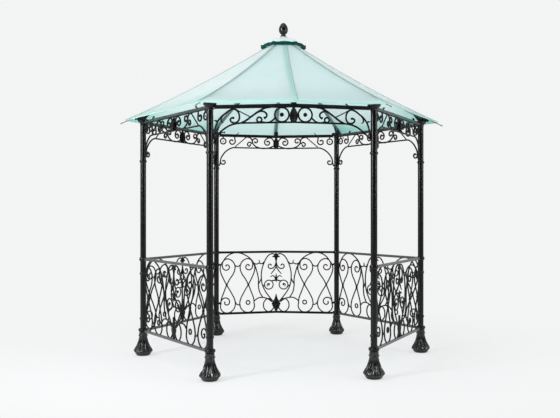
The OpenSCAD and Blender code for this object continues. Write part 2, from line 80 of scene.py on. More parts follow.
low_rail_z = rail_low.z + RAIL_H / 2
top_rail_z = rail_high.z - RAIL_H / 2
beam_low_z = beam_low.z
beam_top_z = beam_low_z + BEAM_H
frieze_clear = 0.138  # height of the friezes' open part
frieze_z = beam_low_z - frieze_clear
capital_top_z = beam_top_z + 0.018
necking_z = beam_top_z - 0.428
post_r = 0.031
ring_r = 0.039  # of the posts' rings at the top rail and the necking
low_ring_r = 0.048
tie_r = post_r + 0.005
foot_top_z = foot_high.z

eave_z = roof_low.z
roof_top_z = roof_high.z - SHEET_T
corner_r = panel_high.x
flat_r = corner_r * COS_30
mid_r = roof_high.y
cap_r = cap_high.x


def post_angle(i):
    """Place of a post round the plan, in degrees."""
    return 60 * i - 60


def bay_angle(i):
    return 60 * i - 90


def spin(axis, degrees):
    return Matrix.Rotation(math.radians(degrees), 4, axis)


def shift(x, y, z):
    return Matrix.Translation((x, y, z))


def stretch(x, y, z):
    return Matrix.Diagonal((x, y, z, 1))


class Side:
    """One side of the plan, drawn with X from its middle to a post and Z up."""

    def __init__(self, bay):
        self.bay = bay
        self.name = BAYS[bay]
        self.bow = bow if bay % 3 == 0 else 0.0
        self.turn = math.atan(self.bow / half_chord)
        self.half = math.hypot(half_chord, self.bow)
        self.reach = apothem + self.bow

    def place(self, half, x, z, out=0.0):
        """Place of a point of the drawing on the right half (1) or the left half (-1), seen from outside."""
        across = half * (x * math.cos(self.turn) + out * math.sin(self.turn))
        away = x * math.sin(self.turn) - out * math.cos(self.turn) - self.reach
        turn = math.radians(60 * self.bay)
        return Vector((across * math.cos(turn) - away * math.sin(turn),
                       across * math.sin(turn) + away * math.cos(turn), z))

    def at_middle(self, z):
        """Matrix that puts a piece's X along the side at its middle and its Y outwards."""
        return spin("Z", 60 * self.bay) @ shift(0, -self.reach, z) @ spin("Z", 180)

    def rp(self, x, z):
        """A point of a half railing: shares of the half side and of the gap between the rails."""
        return (x * self.half, low_rail_z + z * (top_rail_z - low_rail_z))

    def rps(self, *points):
        return [self.rp(x, z) for x, z in points]

    def fp(self, x, z):
        """A point of a half frieze: shares of the half side and of the frieze's clear height."""
        return (x * self.half, frieze_z + z * frieze_clear)

    def fps(self, *points):
        return [self.fp(x, z) for x, z in points]


SIDES = [Side(bay) for bay in range(6)]


def roof_z(t):
    """Height of the roof's underside at share t of the way from the eaves to the top."""
    return eave_z + (roof_top_z - eave_z) * t - 4 * ROOF_SAG * t * (1 - t)


# ---- Modelling ----


def all_off():
    bpy.ops.object.select_all(action="DESELECT")


def only(piece):
    all_off()
    piece.select_set(True)
    bpy.context.view_layer.objects.active = piece


def edit():
    bpy.ops.object.mode_set(mode="EDIT")


def leave_merged():
    """Merges doubled points, turns all faces outwards and leaves edit mode."""
    bpy.ops.mesh.select_all(action="SELECT")
    bpy.ops.mesh.remove_doubles(threshold=MERGE_GAP)
    bpy.ops.mesh.normals_make_consistent(inside=False)
    bpy.ops.object.mode_set(mode="OBJECT")


def applied(piece, kind, **settings):
    """Adds a modifier to a piece and applies it."""
    only(piece)
    modifier = piece.modifiers.new(kind.lower(), kind)
    for key, value in settings.items():
        setattr(modifier, key, value)
    bpy.ops.object.modifier_apply(modifier=modifier.name)


def thicken(piece, thickness):
    applied(piece, "SOLIDIFY", thickness=thickness, offset=0)


def settle(piece):
    """Puts a piece's place into its mesh."""
    only(piece)
    bpy.ops.object.transform_apply(location=True, rotation=True, scale=True)


def smooth(piece, degrees):
    """Smooth shading, apart from edges sharper than an angle."""
    only(piece)
    bpy.ops.object.shade_smooth_by_angle(angle=math.radians(degrees))


def copy_of(piece, matrix):
    """A copy with its own mesh, placed by a matrix."""
    twin = piece.copy()
    twin.data = piece.data.copy()
    twin.data.transform(matrix)
    if matrix.determinant() < 0:
        twin.data.flip_normals()
    bpy.context.scene.collection.objects.link(twin)
    return twin


def drop(piece):
    bpy.data.objects.remove(piece)


def joined(pieces):
    all_off()
    for piece in pieces:
        piece.select_set(True)
    bpy.context.view_layer.objects.active = pieces[0]
    bpy.ops.object.join()
    return pieces[0]


def painted(piece, material):
    piece.data.materials.clear()
    piece.data.materials.append(material)
    return piece


def done(piece, name, slot, material, *nodes):
    """Names a finished piece and gives it its body, finish (None where painted) and nodes. slot is not used.
    """
    piece.name = name
    piece.data.name = name
    if material:
        painted(piece, material)
    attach(piece, "root")
    if nodes:
        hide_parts(*nodes)
    return piece


def polar(r, a):
    return r * math.cos(a), r * math.sin(a)


def crest(x, width):
    """A smooth rise of height 1 at x = 0."""
    return math.exp(-(x / width) ** 2)


def along(points, t):
    """The point at share t of a smooth curve through points."""
    last = len(points) - 1
    at = min(max(t, 0.0), 1.0) * last
    i = min(int(at), last - 1)
    f = at - i
    a, b, c, d = (Vector(points[min(max(k, 0), last)]) for k in (i - 1, i, i + 1, i + 2))
    return 0.5 * (2 * b + (c - a) * f + (2 * a - 5 * b + 4 * c - d) * f * f
                  + (3 * b - a - 3 * c + d) * f ** 3)


def lathe(profile, sides):
    """A turned piece on the Z axis, drawn out ring by ring along (radius, height) points."""
    radius, height = profile[0]
    bpy.ops.mesh.primitive_circle_add(vertices=sides, radius=radius, location=(0, 0, height))
    piece = bpy.context.object
    settle(piece)
    edit()
    bpy.ops.mesh.select_all(action="SELECT")
    bpy.ops.mesh.edge_face_add()
    bpy.ops.mesh.extrude_region_move(TRANSFORM_OT_translate={"value": (0, 0, 0)})
    for next_radius, next_height in profile[1:]:
        bpy.ops.mesh.extrude_region_move(TRANSFORM_OT_translate={"value": (0, 0, next_height - height)})
        share = next_radius / radius
        bpy.ops.transform.resize(value=(share, share, 1), center_override=(0, 0, next_height))
        radius, height = next_radius, next_height
    leave_merged()
    return piece


def grid(columns, rows, where):
    """A grid bent to the places where(u, v), u from -1 to 1 across it and v from 0 to 1 along it."""
    bpy.ops.mesh.primitive_grid_add(x_subdivisions=columns, y_subdivisions=rows, size=2)
    piece = bpy.context.object
    for vertex in piece.data.vertices:
        vertex.co = where(vertex.co.x, (vertex.co.y + 1) / 2)
    return piece


def bent_sheet(columns, rows, where, thickness=SHEET_T, closed=False):
    """A thin grid with a thickness. closed merges its left and right edges."""
    piece = grid(columns, rows, where)
    if closed:
        edit()
        leave_merged()
    thicken(piece, thickness)
    smooth(piece, 25)
    return piece


def leaf(spine, widths, cup, rib, teeth, depth, rows=14):
    """A cast leaf along a spine of (outward, up) points, X across it, with a rib and notched edges."""
    widths = [(w, 0) for w in widths]
    step = 0.02  # to either side, for the spine's direction
    rib_w = 0.18  # as a share of the half width

    def on_leaf(u, v):
        place = along(spine, v)
        run = along(spine, min(v + step, 1)) - along(spine, max(v - step, 0))
        face = Vector((-run.y, run.x)).normalized()
        notch = depth * (0.5 + 0.5 * math.cos(math.tau * teeth * v)) * abs(u) ** 3
        lift = rib * crest(u, rib_w) - cup * u * u
        return (u * (along(widths, v).x * (1 - notch)), place.x - face.x * lift, place.y - face.y * lift)

    piece = grid(8, rows, on_leaf)
    thicken(piece, LEAF_T)
    applied(piece, "SUBSURF", levels=1, render_levels=1)
    only(piece)
    bpy.ops.object.shade_smooth()
    return piece


# ---- Finishes ----


def set_inputs(node, **values):
    """Sets a node's inputs by their names, with _ for a space."""
    for name, value in values.items():
        node.inputs[name.replace("_", " ")].default_value = value


class Nodes:
    """The shader nodes of a material or of the world."""

    def __init__(self, owner, output):
        owner.use_nodes = True
        self.nodes = owner.node_tree.nodes
        self.link = owner.node_tree.links.new
        self.surface = self.nodes[output].inputs["Surface"]

    def node(self, kind, **values):
        node = self.nodes.new("ShaderNode" + kind)
        set_inputs(node, **values)
        return node

    def combined(self, operation, first, second):
        maths = self.node("Math")
        maths.operation = operation
        self.link(first, maths.inputs[0])
        self.link(second, maths.inputs[1])
        return maths.outputs[0]

    def mixed(self, share, first, second):
        """Mixes two shaders. share is the second one's, a number or a node's output."""
        mix = self.node("MixShader")
        if isinstance(share, float):
            mix.inputs[0].default_value = share
        else:
            self.link(share, mix.inputs[0])
        self.link(first.outputs[0], mix.inputs[1])
        self.link(second.outputs[0], mix.inputs[2])
        return mix

    def show(self, shader):
        self.link(shader.outputs[0], self.surface)


class Finish(Nodes):
    """A new material. Its patterns lie in the object's own coordinates, in metres."""

    def __init__(self, name):
        self.material = bpy.data.materials.new(name)
        super().__init__(self.material, "Material Output")
        self.shader = self.nodes["Principled BSDF"]
        self.place = self.node("TexCoord").outputs["Object"]

    def noise(self, scale, detail=3.0):
        texture = self.node("TexNoise", Scale=scale, Detail=detail)
        self.link(self.place, texture.inputs["Vector"])
        return texture.outputs["Fac"]

    def spread(self, value, low, high):
        """Maps the middle of a noise to the range from low to high."""
        ranged = self.node("MapRange", From_Min=0.3, From_Max=0.7, To_Min=low, To_Max=high)
        self.link(value, ranged.inputs["Value"])
        return ranged.outputs["Result"]

    def faded(self, place, near, far, low=0.0):
        """Rises from low to 1 between two distances from the middle."""
        distance = self.node("VectorMath")
        distance.operation = "LENGTH"
        self.link(place, distance.inputs[0])
        fade = self.node("MapRange", From_Min=near, From_Max=far, To_Min=low)
        fade.interpolation_type = "SMOOTHSTEP"
        self.link(distance.outputs["Value"], fade.inputs["Value"])
        return fade.outputs["Result"]

    def blended(self, share, first, second):
        """Mixes two colours, each a tuple or another node's output."""
        mix = self.node("Mix")
        mix.data_type = "RGBA"
        self.link(share, mix.inputs["Factor"])
        for socket, colour in ((mix.inputs[6], first), (mix.inputs[7], second)):
            if isinstance(colour, tuple):
                socket.default_value = (*colour, 1)
            else:
                self.link(colour, socket)
        return mix.outputs[2]

    def bumped(self, height, strength, distance):
        bump = self.node("Bump", Strength=strength, Distance=distance)
        self.link(height, bump.inputs["Height"])
        self.link(bump.outputs["Normal"], self.shader.inputs["Normal"])


TONE_SCALE, GLOSS_SCALE, PEEL_SCALE = 14, 45, 420  # of the paint's patterns, per metre
CLOUD_SCALE, WAVE_SCALE = 2.2, 6  # and of the sheet's


def black_paint(name, dark, pale, rough, peel=0.25, gloss=0.2):
    """Paint on iron: slightly uneven in tone and gloss, with the fine peel of a sprayed coat."""
    finish = Finish(name)
    shader = finish.shader
    tone = finish.spread(finish.noise(TONE_SCALE), 0, 1)
    finish.link(finish.blended(tone, dark, pale), shader.inputs["Base Color"])
    finish.link(finish.spread(finish.noise(GLOSS_SCALE), *rough), shader.inputs["Roughness"])
    set_inputs(shader, Specular_IOR_Level=gloss)
    finish.bumped(finish.noise(PEEL_SCALE, 2), peel, 0.0006)
    return finish.material


def frosted_sheet(name, colour, deep, through, eave=None, gloss=0.25):
    """Translucent sheet: through is its share of light from the other face. It may deepen to a painted shade,
    eave, towards the eaves.
    """
    finish = Finish(name)
    shader = finish.shader
    tint = finish.blended(finish.spread(finish.noise(CLOUD_SCALE), 0, 1), colour, deep)
    # painted shade: the colour deepens to eave's near the eaves
    if eave:
        plan = finish.node("Mapping", Scale=(1, 1, 0))
        finish.link(finish.place, plan.inputs["Vector"])
        tint = finish.blended(finish.faded(plan.outputs["Vector"], apothem * 0.85, corner_r), tint, eave)
    finish.link(tint, shader.inputs["Base Color"])
    set_inputs(shader, Roughness=0.5, Specular_IOR_Level=gloss)
    glow = finish.node("BsdfTranslucent")
    finish.link(tint, glow.inputs["Color"])
    finish.show(finish.mixed(through, shader, glow))
    finish.bumped(finish.noise(WAVE_SCALE, 1), 0.15, 0.004)
    return finish.material


post_paint = black_paint("post_paint", (0.0012, 0.0012, 0.0016), (0.0028, 0.0028, 0.0035), (0.18, 0.26),
                         peel=0.2, gloss=0.30)
casting_paint = black_paint("casting_paint", (0.002, 0.002, 0.0025), (0.004, 0.004, 0.005), (0.13, 0.22),
                            peel=0.15, gloss=0.55)
# Rails of the straight sides: black raised towards grey, with strong gloss, a painted sheen for the
# backdrop's reflection on their faces
rail_paint_painted_sheen = black_paint("rail_paint_painted_sheen", (0.026, 0.026, 0.028), (0.042, 0.042, 0.044), (0.20, 0.32),
                         peel=0.2, gloss=1.0)
scroll_paint = black_paint("scroll_paint", (0.0012, 0.0018, 0.002), (0.0028, 0.0035, 0.0038), (0.32, 0.42))
# Beams of the straight sides: black raised to a violet grey, a painted highlight for the light on their
# faces; the bowed sides' beams take the dark scroll paint
beam_paint_painted_highlight = black_paint("beam_paint_painted_highlight", (0.014, 0.013, 0.015), (0.022, 0.020, 0.023), (0.20, 0.30), gloss=0.8)
rafter_paint = black_paint("rafter_paint", (0.15, 0.205, 0.195), (0.18, 0.24, 0.23), (0.35, 0.48))
finial_paint = black_paint("finial_paint", (0.003, 0.003, 0.0035), (0.005, 0.005, 0.0055), (0.06, 0.12),
                           peel=0.1, gloss=0.5)
# Bolts: mid grey, a painted glint on what is a dark bolt
bolt_paint_painted_glint = black_paint("bolt_paint_painted_glint", (0.50, 0.51, 0.52), (0.60, 0.61, 0.62), (0.25, 0.40),
                         peel=0.1, gloss=0.5)
sheet_tint = frosted_sheet("sheet_tint", (0.815, 0.928, 0.924), (0.778, 0.915, 0.910), 0.79)
# Tops of the straight sides' sheets: paler and greyer than the bowed sides', a painted sheen for their
# brighter look at a glancing view
side_sheet_painted_sheen = frosted_sheet("side_sheet_painted_sheen", (0.875, 0.905, 0.900), (0.845, 0.89, 0.884), 0.74)
# Undersides of the sheets: brighter than the tops, painted light, and deepening to a darker teal near the
# eaves, painted shade; the straight sides' undersides turn much darker there
under_painted_light_and_shade = frosted_sheet("under_painted_light_and_shade", (0.92, 0.985, 0.982), (0.895, 0.978, 0.973), 0.93,
                           eave=(0.83, 0.965, 0.945))
side_under_painted_light_and_shade = frosted_sheet("side_under_painted_light_and_shade", (0.84, 0.95, 0.945), (0.80, 0.93, 0.925), 0.74,
                                eave=(0.33, 0.75, 0.67))
cap_tint = frosted_sheet("cap_tint", (0.90, 0.975, 0.965), (0.87, 0.96, 0.95), 0.6)
bead_tint = frosted_sheet("bead_tint", (0.34, 0.52, 0.51), (0.30, 0.48, 0.47), 0.35)
band_tint = frosted_sheet("band_tint", (0.62, 0.83, 0.81), (0.58, 0.80, 0.78), 0.6)
hem_tint = frosted_sheet("hem_tint", (0.66, 0.87, 0.845), (0.61, 0.84, 0.815), 0.6)
# Skirt under the cap: near-black teal with little gloss, painted shade of the gap between the cap and the
# roof
skirt_painted_shade = frosted_sheet("skirt_painted_shade", (0.001, 0.046, 0.037), (0.002, 0.060, 0.049), 0.1, gloss=0.06)


# ---- Scrollwork ----


def curl(centre, start_r, end_r, start, end, steps):
    """Points of an arc round centre, in millimetres and degrees, as (x, z) in metres."""
    points = []
    for i in range(steps + 1):
        t = i / steps
        r = (start_r + (end_r - start_r) * t) / 1000
        a = math.radians(start + (end - start) * t)
        points.append((centre[0] + r * math.cos(a), centre[1] + r * math.sin(a)))
    return points


def new_curve():
    bpy.ops.curve.primitive_bezier_curve_add(location=(0, 0, 0))
    piece = bpy.context.object
    piece.data.splines.clear()
    return piece


def polyline(curve, points, closed=False):
    line = curve.splines.new("POLY")
    line.points.add(len(points) - 1)
    for point, place in zip(line.points, points):
        point.co = (*place, 1)
    line.use_cyclic_u = closed


def meshed(curve):
    only(curve)
    bpy.ops.object.convert(target="MESH")
    return bpy.context.object


class Ironwork:
    """Bars of one side, collected as curves and turned into one mesh."""

    def __init__(self, side, bar_r=BAR_R):
        self.side = side
        self.bar_r = bar_r
        self.piece = new_curve()
        self.curve = self.piece.data
        self.curve.bevel_depth = bar_r
        self.curve.bevel_resolution = 2
        self.curve.resolution_u = 5
        self.curve.use_fill_caps = True

    def run(self, places, shares, kind="AUTO", loop=False):
        """One bar through places, with shares of the usual thickness there."""
        spline = self.curve.splines.new("BEZIER")
        spline.bezier_points.add(len(places) - 1)
        spline.use_cyclic_u = loop
        for knot, place, share in zip(spline.bezier_points, places, shares):
            knot.co = place
            knot.handle_left_type = knot.handle_right_type = kind
            knot.radius = share

    def bar(self, points, share=1.0, tips=(1.0, 1.0), loop=False, straight=False):
        """A bar along (x, z) points on both halves of the side. tips thicken its two ends."""
        shares = [share * tips[0]] + [share] * (len(points) - 2) + [share * tips[1]]
        for half in (1, -1):
            self.run([self.side.place(half, x, z) for x, z in points], shares,
                     "VECTOR" if straight else "AUTO", loop)

    def ring(self, centre, r, share=1.0):
        """A ring, its radius in millimetres."""
        self.bar(curl(centre, r, r, 0, 330, 11), share, loop=True)

    def eye(self, centre, r):
        """A round boss at the middle of a scroll, its radius in millimetres."""
        x, z = centre
        depth = r * 0.6 / 1000
        thick = r / 1000 / self.bar_r
        for half in (1, -1):
            self.run([self.side.place(half, x, z, out) for out in (-depth, 0, depth)],
                     (0.45 * thick, thick, 0.45 * thick))

    def collar(self, centre):
        """A short upright band that ties two bars."""
        x, z = centre
        self.bar([(x, z - 0.010), (x, z + 0.010)], 1.7, straight=True)

    def mesh(self):
        return meshed(self.piece)


def swept(profile, places):
    """A section of (out, up) points drawn along a line of places, with a mitre at each."""
    section, run = new_curve(), new_curve()
    section.data.dimensions = "2D"
    polyline(section.data, [(out, up, 0) for out, up in profile], closed=True)
    polyline(run.data, places)
    run.data.twist_mode = "Z_UP"
    run.data.bevel_mode = "OBJECT"
    run.data.bevel_object = section
    run.data.use_fill_caps = True
    piece = meshed(run)
    drop(section)
    edit()
    leave_merged()
    smooth(piece, 30)
    return piece


def moulding(side, profile, end, z):
    """A section drawn along a side to x = end on both halves."""
    near = 0.2  # points that keep the section true beside the bend
    run = ((-1, end), (-1, near), (1, 0), (1, near), (1, end))
    return swept(profile, [side.place(half, x, z) for half, x in run])


def plate(outline, thickness):
    """A flat plate with eased edges, drawn with (x, z) points, its thickness along Y."""
    edge = 0.001
    flat = new_curve()
    curve = flat.data
    curve.dimensions = "2D"
    curve.fill_mode = "BOTH"
    polyline(curve, [(x, z, 0) for x, z in outline], closed=True)
    curve.extrude = thickness / 2 - edge
    curve.bevel_depth = edge
    curve.bevel_resolution = 1
    curve.offset = -edge
    piece = meshed(flat)
    piece.data.transform(spin("X", 90))
    smooth(piece, 30)
    return piece


def block(size, place, edge):
    """A block with rounded edges."""
    bpy.ops.mesh.primitive_cube_add(size=1, location=place, scale=size)
    piece = bpy.context.object
    settle(piece)
    applied(piece, "BEVEL", width=edge, segments=3)
    smooth(piece, 30)
    return piece


def box_section(width, height, round_off, steps=3):
    """Outline of a bar with rounded edges, centred on its line."""
    outline = []
    for corner, start in (((1, 1), 0), ((-1, 1), 90), ((-1, -1), 180), ((1, -1), 270)):
        cx = corner[0] * (width / 2 - round_off)
        cy = corner[1] * (height / 2 - round_off)
        for i in range(steps + 1):
            a = math.radians(start + 90 * i / steps)
            outline.append((cx + round_off * math.cos(a), cy + round_off * math.sin(a)))
    return outline


def crossing_pair(work, x, turn):
    """Two long bars that cross at x of the half railing, the first with a scroll. turn mirrors them."""
    side = work.side

    def q(*points):
        return [side.rp(x + turn * px, pz) for px, pz in points]

    centre = side.rp(x, 0.765)
    work.bar(curl(centre, 13, 54, 90 - turn * 430, 90 - turn * 90, 9)
             + q((0.06, 0.85), (0.01, 0.89), (-0.06, 0.88), (-0.12, 0.82), (-0.138, 0.745), (-0.11, 0.65),
                 (-0.05, 0.56), (0, 0.465), (0.05, 0.34), (0.09, 0.23), (0.095, 0.15)), tips=(1.5, 1))
    work.bar(q((0.075, 0.83), (0.105, 0.77), (0.105, 0.7), (0.06, 0.58), (0, 0.465), (-0.08, 0.33),
               (-0.138, 0.2), (-0.138, 0.115), (-0.09, 0.04), (-0.01, 0.006), (0.06, 0.03), (0.1, 0.09),
               (0.098, 0.16)))
    work.collar(side.rp(x, 0.465))


def railing_scrolls(side):
    work = Ironwork(side)
    rp, rps = side.rp, side.rps
    end = 1 - tie_r / side.half
    crossing_pair(work, 0.83, 1)
    work.bar(curl(rp(0.84, 0.18), 12, 68, 400, 5, 10), tips=(1.7, 1))
    crossing_pair(work, 0.47, -1)
    work.ring(rp(0.475, 0.17), 24)
    # arch that touches the top rail, and its run down beside the centre
    work.bar(rps((0.905, 0.83), (0.83, 0.93), (0.73, 0.985), (0.63, 0.99), (0.52, 0.95), (0.43, 0.885),
                 (0.375, 0.81), (0.325, 0.67), (0.3, 0.55), (0.3, 0.45), (0.28, 0.34), (0.225, 0.245)))
    # ties to the post
    work.bar(rps((0.9, 0.84), (0.93, HIGH_TIE), (end, HIGH_TIE)), 1.1, tips=(1, 1.9))
    work.bar(rps((0.925, LOW_TIE), (end, LOW_TIE)), 1.2, tips=(1, 1.9))
    # links between the pairs and to the centre
    work.bar(rps((0.695, 0.79), (0.67, 0.77), (0.635, 0.77), (0.605, 0.79)))
    work.bar(rps((0.695, 0.2), (0.66, 0.145), (0.6, 0.13)))
    work.bar(rps((0.378, 0.815), (0.33, 0.8), (0.29, 0.815), (0.24, 0.805), (0.2, 0.84)))
    work.bar(rps((0.287, 0.812), (0.282, 0.85), (0.3, 0.87)), 0.8, tips=(1.3, 0.4))
    work.bar(rps((0.3, 0.47), (0.27, 0.52), (0.25, 0.565)))
    work.bar(rps((0.375, 0.19), (0.3, 0.24), (0.225, 0.245), (0.15, 0.225), (0.07, 0.17)))
    # oval of the centre
    work.bar(rps((0, 0.925), (0.045, 0.965), (0.1, 0.96), (0.15, 0.92), (0.205, 0.82), (0.245, 0.69),
                 (0.25, 0.56), (0.235, 0.46), (0.19, 0.36), (0.12, 0.26), (0.03, 0.15)))
    # ring scroll held by the oval, with its eye
    eye = rp(0.124, 0.455)
    work.ring(eye, 56, 0.95)
    work.bar(rps((0.236, 0.455)) + [(eye[0] + 0.052, eye[1] - 0.020)], 0.95)
    work.bar(curl(eye, 10, 26, 160, -60, 6), 0.8, tips=(1.4, 0.6))
    work.eye(eye, 12)
    # C scroll at the top of the centre
    work.bar(curl(rp(0.098, 0.77), 10, 36, 540, 270, 8) + rps((0.05, 0.735), (0.02, 0.77), (0, 0.83)),
             tips=(1.5, 1))
    work.bar(rps((0, 0.75), (0.04, 0.69), (0.09, 0.63)), tips=(1, 0.7))
    # sprig
    work.bar(rps((0, 0.53), (0.03, 0.585), (0.06, 0.602), (0.1, 0.58)), 0.9, tips=(1.5, 0.6))
    work.bar([rp(0, 0.53), (eye[0] - 0.030, eye[1] + 0.0475)], 0.9, tips=(1.5, 1))
    work.bar(rps((0.003, 0.56), (0.003, 0.635)), 1.0, tips=(1.6, 0.3), straight=True)
    # oval loop beside the bud
    work.bar(rps((0.03, 0.1), (0.06, 0.045), (0.12, 0.01), (0.18, 0.035), (0.215, 0.11), (0.185, 0.2),
                 (0.13, 0.225), (0.06, 0.185), (0.03, 0.13)))
    # stem
    work.bar(rps((0, 0.9), (0, 0.73)), 1.1, straight=True)
    work.bar(rps((0, 0.62), (0, 0.5)), 0.9, tips=(0.4, 1), straight=True)
    return work.mesh()


SPLIT = 0.625  # where the open side's frieze ends and its brackets start, as a share of the half side


def frieze_front_scrolls(work):
    fp, fps = work.side.fp, work.side.fps
    large = fp(0.14, 0.5)
    work.ring(large, 64)
    work.eye(large, 20)
    # small ring with its run to the large ring, and the hook over it
    work.ring(fp(0.407, 0.2), 22)
    work.bar(fps((0.385, 0.07), (0.34, 0.01), (0.29, 0.02), (0.245, 0.165), (0.22, 0.3)))
    work.bar(fps((0.445, 0.62), (0.41, 0.72), (0.371, 0.745), (0.333, 0.65), (0.318, 0.48), (0.33, 0.345),
                 (0.352, 0.3)), tips=(0.8, 1.6))
    # S bar from the beam down to the lower bar
    work.bar(fps((0.28, 0.995), (0.33, 0.97), (0.384, 0.84), (0.49, 0.46), (0.57, 0.15), (SPLIT, 0.0)), 1.1)
    work.bar(fps((SPLIT, 0.71), (0.51, 0.38)), 0.6, straight=True)
    work.bar([fp(0, 0), fp(SPLIT, 0)], straight=True)


def bracket_front_scrolls(work):
    fp, fps = work.side.fp, work.side.fps
    # arm that rises from the post and turns into a spiral under the beam
    work.bar(fps((0.96, -0.88), (0.95, -0.72), (0.934, -0.25), (0.887, 0.28), (0.8, 0.7), (0.755, 0.86),
                 (0.712, 0.92), (0.668, 0.78), (0.645, 0.42), (0.66, 0.13), (0.705, 0.02), (0.746, 0.12),
                 (0.752, 0.28), (0.72, 0.36)), tips=(1, 1.2))
    work.eye(fp(0.716, 0.34), 11)
    work.bar(fps((0.68, 0.88), (SPLIT, 0.71)), 0.6, straight=True)
    # arm that runs on from the lower bar
    work.bar(fps((SPLIT, 0), (0.68, -0.03), (0.768, -0.17), (0.848, -0.45), (0.93, -0.85), (0.96, -1.0)))
    # leaves on the arms
    work.bar(fps((0.82, 0.6), (0.86, 0.36), (0.862, 0.14), (0.838, 0.03)), 0.9, tips=(0.5, 0.4))
    work.bar(fps((0.905, 0.12), (0.93, 0.17), (0.955, 0.2)), 1.0, tips=(1.2, 0.2))
    work.bar(fps((0.885, -0.66), (0.855, -0.61), (0.825, -0.6)), 0.7, tips=(1, 0.6))
    work.eye(fp(0.825, -0.6), 9)


def frieze_side_scrolls(work):
    fp, fps = work.side.fp, work.side.fps
    work.bar(fps((0.03, 0.5), (0.06, 0.82), (0.1, 0.95)) + curl(fp(0.145, 0.52), 44, 12, 60, -330, 9),
             tips=(1, 1.6))
    work.bar(fps((0.04, 0.22), (0.13, 0.03), (0.29, 0.03), (0.37, 0.25))
             + curl(fp(0.35, 0.62), 42, 12, -20, 350, 9), tips=(1, 1.6))
    work.bar(curl(fp(0.452, 0.3), 11, 34, -210, 150, 9)
             + fps((0.405, 0.62), (0.43, 0.88), (0.48, 0.98), (0.53, 0.985)), tips=(1.6, 1))
    work.bar(fps((0.5, 0.985), (0.69, 0.08)), 0.75, straight=True)
    work.bar(fps((0.7, 0.985)) + curl(fp(0.745, 0.56), 46, 12, 150, 520, 10), tips=(1, 1.6))
    ring = fp(0.888, 0.56)
    work.ring(ring, 34)
    work.eye(ring, 9)
    work.bar([(ring[0], ring[1] + 0.034), fp(0.888, 0.985)])
    work.bar([fp(0, 0), fp(0.7, 0)], straight=True)


def bracket_side_scrolls(work):
    fp, fps = work.side.fp, work.side.fps
    work.bar(fps((0.7, 0), (0.73, -0.01), (0.82, -0.25), (0.89, -0.65), (0.928, -1.05))
             + curl(fp(0.885, -1.3), 36, 12, 0, -330, 11), tips=(1, 1.6))
    work.bar(fps((0.932, -1.25), (0.945, -1.55), (0.958, -1.66)))


def eave_bars(side, front_scrolls, side_scrolls):
    """Bars of a frieze or of its brackets. The open front side has a design of its own."""
    work = Ironwork(side, EAVE_BAR_R)
    draw = side_scrolls if side.bay else front_scrolls
    draw(work)
    return work.mesh()


# ---- Castings ----


def acanthus():
    """Cluster at the middle of a frieze: leaves in front and behind, a core between them and a strap."""
    h = frieze_clear
    middle = leaf([(0.008, h * 0.86), (0.014, h * 0.66), (0.015, h * 0.42), (0.013, h * 0.18), (0.010, 0.0)],
                  [0.010, 0.023, 0.030, 0.023, 0.004], cup=0.006, rib=0.004, teeth=5, depth=0.3)
    leaves = [copy_of(middle, shift(-0.0105 * half, -0.003, h * 0.45) @ spin("Y", 3 * half)
                      @ shift(0, 0, -h * 0.45)) for half in (-1, 1)]
    front = joined(leaves + [middle])
    back = copy_of(front, spin("Z", 180))
    strap = block((0.026, 0.012, h * 0.26), (0, 0, h * 0.87), 0.0015)
    core = lathe([(0.001, 0.0), (0.010, h * 0.04), (0.018, h * 0.16), (0.022, h * 0.32), (0.0225, h * 0.48),
                  (0.0185, h * 0.66), (0.0115, h * 0.80), (0.001, h * 0.86)], 24)
    core.data.transform(stretch(1, 0.5, 1))
    smooth(core, 40)
    return joined([front, back, strap, core])


def both_faces(front):
    """A casting's front with a mirrored copy behind it."""
    return joined([front, copy_of(front, stretch(1, -1, 1))])


def hanging_leaf():
    """Leaf with three lobes at the top of a railing's middle, with relief on both faces."""
    lobe = leaf([(0.0, 0.010), (0.001, -0.02), (0.001, -0.055), (0.0, -0.104)],
                [0.012, 0.027, 0.020, 0.003], cup=0.003, rib=0.003, teeth=3, depth=0.16)
    side_lobes = [copy_of(lobe, shift(0, 0, -0.026) @ spin("Y", turn) @ stretch(0.72, 1, 0.50))
                  for turn in (-78, 78)]
    return both_faces(joined(side_lobes + [lobe]))


def bud():
    """Spear-shaped bud at the foot of a railing's middle."""
    petal = leaf([(0.0, -0.098), (0.010, -0.05), (0.012, 0.0), (0.008, 0.055), (0.0, 0.125)],
                 [0.008, 0.038, 0.060, 0.026, 0.001], cup=0.012, rib=0.004, teeth=5, depth=0.14, rows=18)
    return both_faces(petal)


# ---- Build ----


def build_railings():
    top_leaf, low_bud = hanging_leaf(), bud()
    for side in SIDES[1:]:
        parts = [railing_scrolls(side)]
        for casting, share in ((top_leaf, 0.965), (low_bud, 0.14)):
            parts.append(copy_of(casting, side.at_middle(side.rp(0, share)[1])))
        for part in parts:
            painted(part, scroll_paint)
        for z, gap in ((low_rail_z, low_ring_r), (top_rail_z, ring_r)):
            rail = moulding(side, box_section(RAIL_W, RAIL_H, EDGE_ROUND), side.half - gap, z)
            # the straight sides' rails take the paler rail paint, a painted sheen; the bowed back's rails
            # stay in the dark scroll paint
            parts.append(painted(rail, scroll_paint if side.bow else rail_paint_painted_sheen))
        done(joined(parts), f"scroll_railing_{side.name}", "railings", None, f"railing_{side.name}")
    drop(top_leaf)
    drop(low_bud)


